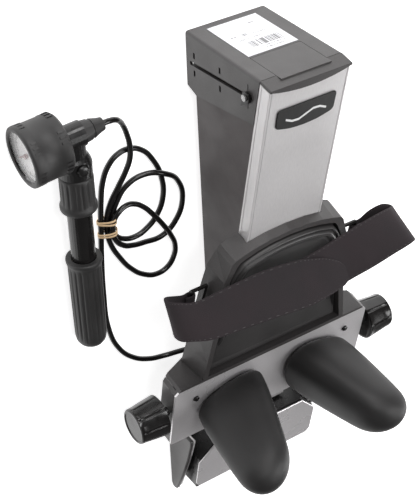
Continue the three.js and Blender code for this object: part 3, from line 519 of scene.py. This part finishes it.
def make_stitches(name, rows):
    """Two lines of short raised stitches just inside the strap's edges."""
    parts = []
    for k in range(16, len(rows) - 3, 2):
        middle, half = rows[k]
        ahead = (rows[k + 1][0] - middle) * 0.62
        up = ahead.cross(half).normalized()
        across = half.normalized() * (0.28 * MM)
        for side in (-1, 1):
            for face in (-1, 1):
                at = middle + half * side * 0.925 + up * (face * (STRAP_THICKNESS / 2 + 0.02) * MM)
                lift = up * (face * 0.22 * MM)
                ring = [[at - across, at + lift * 0.3, at + across],
                        [at + ahead * 0.5 - across, at + ahead * 0.5 + lift, at + ahead * 0.5 + across],
                        [at + ahead - across, at + ahead + lift * 0.3, at + ahead + across]]
                parts.append(skin(ring))
    obj = piece(name, *join(parts), "thread", "carriage", 80)
    return obj


make_strap("strap_upper", LEFT_STRAP, "strap_left")
make_strap("strap_lower", RIGHT_STRAP, "strap_right")


# ------------------------------------------------------------------ head pad
RIM = [(72, 211.6), (79, 236), (83, 262), (88, 316), (93, 350), (97, 378)]


def pad_plan(inset):
    """The pad's outline in plan, as closely spaced points: the cradle's rim moved inwards."""
    corner = RIM[0]
    reach = corner[0] - inset
    arc = []
    for k in range(-16, 17):
        u = 0.94 * k / 16
        arc.append((u * reach, corner[1] + inset - 13.6 * (1 - abs(u) ** 2.2)))
    side = [(x - inset, s + inset + 3 if i == 0 else min(s, 372)) for i, (x, s) in enumerate(RIM)]
    dense = [tuple(row) for row in smooth_through(side, 24)]
    left = [(-x, s) for x, s in reversed(dense)]
    bottom = [(dense[-1][0] * (1 - 2 * k / 20), 372) for k in range(1, 20)]
    return arc + dense + bottom + left


def make_pad():
    """Moulded foam: a raised roll inside the rim, a bowl for the head, and a plain slope at the neck end."""
    plan = pad_plan(9)
    steps = [  # share of the plan, height above the track
        (0.95, 3.4), (0.985, 4.2), (1.0, 6.5), (1.0, 9.5), (0.994, 12.4), (0.983, 13.9), (0.972, 14.2),
        (0.962, 13.4), (0.955, 11.8), (0.948, 11.6), (0.94, 12.9), (0.925, 14.8), (0.905, 15.5),
        (0.885, 15.2), (0.868, 14.0), (0.858, 12.3), (0.85, 12.0), (0.83, 12.6), (0.8, 12.3), (0.7, 10.2),
        (0.6, 8.6), (0.48, 7.8), (0.35, 7.2), (0.22, 6.9), (0.1, 6.7), (0.02, 6.6)]
    rings = []
    for k, n in steps:
        ring = []
        for x, s in plan:
            at_s = 292 + (s - 292) * k
            slope = min(1, max(0, (at_s - 326) / 26))
            slope *= slope * (3 - 2 * slope) if k < 0.97 else 0
            plain = 7.2 + 8.2 * min(1, max(0, (at_s - 332) / 34))
            ring.append(track(x * k, at_s, n - 0.3 + (plain - n) * slope))
        rings.append(ring)
    obj = piece("head_cushion", *skin(rings), "pad", "carriage", 60)
    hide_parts("head_pad")


make_pad()


# ------------------------------------------------------------------ neck wedges
WEDGE_X, WEDGE_S, WEDGE_BASE = 56, 427, 24
WEDGE_CORNER = math.radians(232)
WEDGE_SECTIONS = [  # height above the track, half width across, half width along, how three-cornered
    (24.0, 37, 33, 0.08), (24.4, 40.2, 35.8, 0.085), (26, 41.6, 36.9, 0.09), (30, 42.5, 37.5, 0.095),
    (45, 42, 37.3, 0.095), (60, 40.6, 36.5, 0.092), (75, 38.9, 35.2, 0.088), (90, 36.9, 33.7, 0.082),
    (103, 35.2, 32.2, 0.076),
    (115, 33.3, 30.9, 0.068), (124, 31.6, 29.2, 0.06), (131.5, 28.8, 26.6, 0.05), (138, 24.6, 22.8, 0.038),
    (143, 19.4, 18, 0.026), (146.6, 13.4, 12.4, 0.015), (148.9, 7, 6.5, 0.006), (149.6, 1.2, 1.1, 0),
]


def make_wedge(side):
    """Skinned foam, a soft triangle in section that rounds over to a nose."""
    rings = []
    for n, a, b, soft in smooth_through(WEDGE_SECTIONS, 84):
        middle_x = WEDGE_X + (n - WEDGE_BASE) * 21.5 / 94
        middle_s = WEDGE_S - (n - WEDGE_BASE) * 0.02
        ring = []
        for k in range(96):
            t = 2 * math.pi * k / 96
            r = 1 + soft * math.cos(3 * (t - WEDGE_CORNER))
            r += soft * 0.22 * math.exp(-(math.remainder(t - WEDGE_CORNER, 2 * math.pi) / 0.3) ** 2)
            ring.append(track(side * (middle_x + a * r * math.cos(t)), middle_s + b * r * math.sin(t), n))
        rings.append(ring if side > 0 else ring[::-1])
    name = "left" if side > 0 else "right"
    obj = piece("neck_wedge_" + name, *skin(rings), "rubber", "wedge_slide_" + name, 60)
    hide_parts("wedge_" + name)


make_wedge(1)
make_wedge(-1)


# ------------------------------------------------------------------ knobs
KNOB_FACE_X = 140.8
SCREW_S, SCREW_N = 422.6, 7.4


def make_knob(side):
    """Eight flats with a narrow groove at each corner, a rolled rim and a dished end."""
    def flats(along, angle):
        step = math.pi / 4
        d = (angle + step / 2) % step - step / 2
        corner = step / 2 - abs(d)
        flat = math.cos(step / 2) / math.cos(d)
        depth = 0.075 * math.exp(-(corner / 0.05) ** 2)
        fade = min(1, max(0, (33.5 - along) / 2.5)) * min(1, max(0, (along - 1) / 2))
        return 1 - fade * (1 - (0.35 + 0.65 * flat) + depth)

    def place(t, a, b):
        return track(side * (KNOB_FACE_X + t), SCREW_S + a, SCREW_N + side * b)

    profile = [
        (0.2, 19), (0.3, 22.6), (1.2, 24.1), (2.6, 24.4), (8, 23.9), (16, 23.1), (24, 22.2), (30, 21.5),
        (33, 21.1), (34.6, 20.4), (35.4, 19), (35.3, 17.6), (34.5, 16.9), (34.4, 12), (34.6, 0.3)]
    name = "left" if side > 0 else "right"
    obj = piece("hand_knob_" + name, *skin(lathe(profile, place, 192, flats)), "knob", "screw", 32)
    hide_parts("knob_" + name)


make_knob(1)
make_knob(-1)


# ------------------------------------------------------------------ pump
def make_boot():
    """The gauge's rubber boot, with short raised ribs in two rows near each end."""
    outer = [
        (0, 9), (0, 26.5), (0.8, 28.6), (3, 30.6), (12, 30.7), (12.7, 30.2), (30, 30.4), (30.7, 30.9),
        (39, 31.2), (41, 30.8), (42, 29.6), (42, 26.6), (41.6, 26), (40.9, 25.2), (40.9, 28), (3.6, 28),
        (3.5, 9), (0, 9)]
    parts = [skin(lathe(outer, gauge, 120), cap=False)]
    for start, end in ((3.5, 10.5), (32, 38.5)):
        for k in range(36):
            if k % 6 > 2:
                continue
            angle = 2 * math.pi * k / 36
            rib = []
            for x, lift in ((start, 0.0), (start + 0.7, 0.9), (end - 0.7, 0.9), (end, 0.0)):
                r = 30.6 + lift
                crest = [gauge(x, r * math.cos(a), r * math.sin(a))
                         for a in (angle - 0.036, angle, angle + 0.036)]
                rib.append(crest + [gauge(x, 30 * math.cos(angle), 30 * math.sin(angle))])
            parts.append(skin(rib))
    obj = piece("rubber_boot", *join(parts), "boot", "frame", 40)
    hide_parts("gauge_boot")


def make_dial_print():
    """Tick marks round the dial and a red arc, standing just off its face."""
    ticks, arc = [], []
    for k in range(51):
        angle = math.radians(-135 + 270 * k / 50)
        major = k % 5 == 0
        inner, half = (17.5, 0.34) if major else (19.6, 0.16)
        along = Vector((math.cos(angle), math.sin(angle)))
        side = Vector((-along.y, along.x)) * half
        corners = [along * inner - side, along * inner + side, along * 22 + side, along * 22 - side]
        ticks.append(skin([[gauge(x, c.x, c.y) for c in corners] for x in (34.95, 35.1)]))
    for k in range(24):
        a0, a1 = (math.radians(60 + 75 * j / 24) for j in (k, k + 1))
        edges = ((14, a0), (14, a1), (16.4, a1), (16.4, a0))
        corners = [(r * math.cos(a), r * math.sin(a)) for r, a in edges]
        arc.append(skin([[gauge(x, *c) for c in corners] for x in (34.95, 35.08)]))
    piece("dial_ticks", *join(ticks), "ink", "frame")
    piece("dial_arc", *join(arc), "red", "frame")


def make_grip(name, node, body, profile, ribs, start, end):
    """A turned rubber sleeve with rounded ribs running along it."""
    def ribbed(along, angle):
        fade = min(1, max(0, (along - start) / 3)) * min(1, max(0, (end - along) / 3))
        return 1 - fade * 0.055 * (0.5 - 0.5 * math.cos(ribs * angle)) ** 3

    obj = piece(name, *skin(lathe(profile, handle, 216, ribbed), cap=False), "boot", body, 40)
    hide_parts(node)


make_boot()
make_dial_print()
make_grip("grip_sleeve_upper", "upper_grip", "frame", [
    (12, 13.3), (12, 16), (12.8, 16.9), (14.5, 17.2), (18, 17.3), (24, 17.3), (38, 17.35), (43, 17.4),
    (45.1, 17.5), (46.3, 18.2), (47.7, 18.9), (50, 19), (51.9, 18.8), (52.9, 18), (53, 13.3),
    (12, 13.3)], 16, 15, 44.5)
make_grip("grip_sleeve_lower", "lower_grip", "pump_sleeve", [
    (115, 13.2), (115, 17.8), (115.8, 18.7), (117.5, 18.9), (119.6, 18.7), (121, 17.8), (123, 17.5),
    (127, 17.5), (160, 17.3), (200, 17.1), (212, 17), (219, 16.8), (224.5, 15.9), (228.6, 13.4),
    (231, 9.6), (232.2, 5), (232.4, 0.2),
    (226, 0.2), (226, 13.2), (115, 13.2)], 18, 123, 219)


# ------------------------------------------------------------------ finishes on the CAD nodes that stay
LOOK_INSTEAD = {  # nodes whose look differs from their material slot's
    "crossbar_plate": "plate", "nose_plate": "plate", "badge": "badge",
    "strap_ring_left": "knob", "strap_ring_right": "knob",
    "plate_stud_left": "knob", "plate_stud_right": "knob", "pump_shaft": "knob",
}
UNBEVELLED = {"label_sticker", "badge_emblem", "gauge_dial", "hose", "wedge_left", "wedge_right"}


def finish_nodes():
    """Each CAD node that still shows gets its slot's look and, unless listed as unbevelled, eased edges."""
    slots = {entry["node"]: entry["material_slot"] for entry in frame["record"]["subparts"]}
    for name, obj in frame["nodes"].items():
        look = LOOK_INSTEAD.get(name, slots[name])
        obj.data.materials.clear()
        obj.data.materials.append(LOOK[look])
        if name in UNBEVELLED:
            continue
        bevel = obj.modifiers.new("eased_edges", "BEVEL")
        bevel.width = 0.45 * MM
        bevel.segments = 2
        bevel.limit_method = "ANGLE"
        bevel.angle_limit = math.radians(38)
        bevel.harden_normals = True


finish_nodes()


# ------------------------------------------------------------------ stage and light
def make_floor():
    """A white sweep that stays white where the camera sees it, with only a breath of shadow."""
    mesh = bpy.data.meshes.new("floor")
    size = 6
    corners = [(-size, -size, 0), (size, -size, 0), (size, size, 0), (-size, size, 0)]
    mesh.from_pydata(corners, [], [(0, 1, 2, 3)])
    floor = bpy.data.objects.new("floor", mesh)
    floor.location.z = -0.0004
    bpy.context.collection.objects.link(floor)
    m = Nodes("floor_white")
    paper = m.mix(m.noise(3, 2), rgb(0.93), rgb(0.95))
    m.set(Base_Color=paper, Roughness=0.9, Specular_IOR_Level=0.1,
          Emission_Color=rgb(1.0), Emission_Strength=0.8)
    mesh.materials.append(m.material)


def area_light(name, at, aim, size, power, tint=(1, 1, 1)):
    data = bpy.data.lights.new(name, "AREA")
    data.shape = "RECTANGLE"
    data.size, data.size_y = size
    data.energy = power
    data.color = tint
    light = bpy.data.objects.new(name, data)
    light.location = at
    light.rotation_euler = (Vector(aim) - Vector(at)).to_track_quat("-Z", "Y").to_euler()
    bpy.context.collection.objects.link(light)


def make_light():
    world = bpy.data.worlds.new("studio")
    bpy.context.scene.world = world
    world.use_nodes = True
    world.node_tree.nodes["Background"].inputs["Color"].default_value = (1, 0.98, 0.98, 1)
    world.node_tree.nodes["Background"].inputs["Strength"].default_value = 0.16
    area_light("head_low", (-0.1, -2.1, 0.75), (0, -0.35, 0.08), (1.1, 0.5), 15, (1, 0.99, 0.99))
    area_light("head_high", (0.3, -1.6, 1.9), (0, -0.35, 0.05), (1.0, 0.6), 14)
    area_light("overhead", (-0.9, -0.2, 1.7), (0, -0.3, 0.05), (0.9, 0.9), 16)
    area_light("neck_side", (-1.7, 0.7, 0.65), (0, -0.15, 0.1), (0.6, 1.0), 10)
    area_light("pump_side", (1.7, 0.5, 0.6), (0.1, -0.3, 0.05), (0.4, 1.2), 1.5)


make_floor()
make_light()
bpy.context.scene.view_settings.view_transform = "Standard"
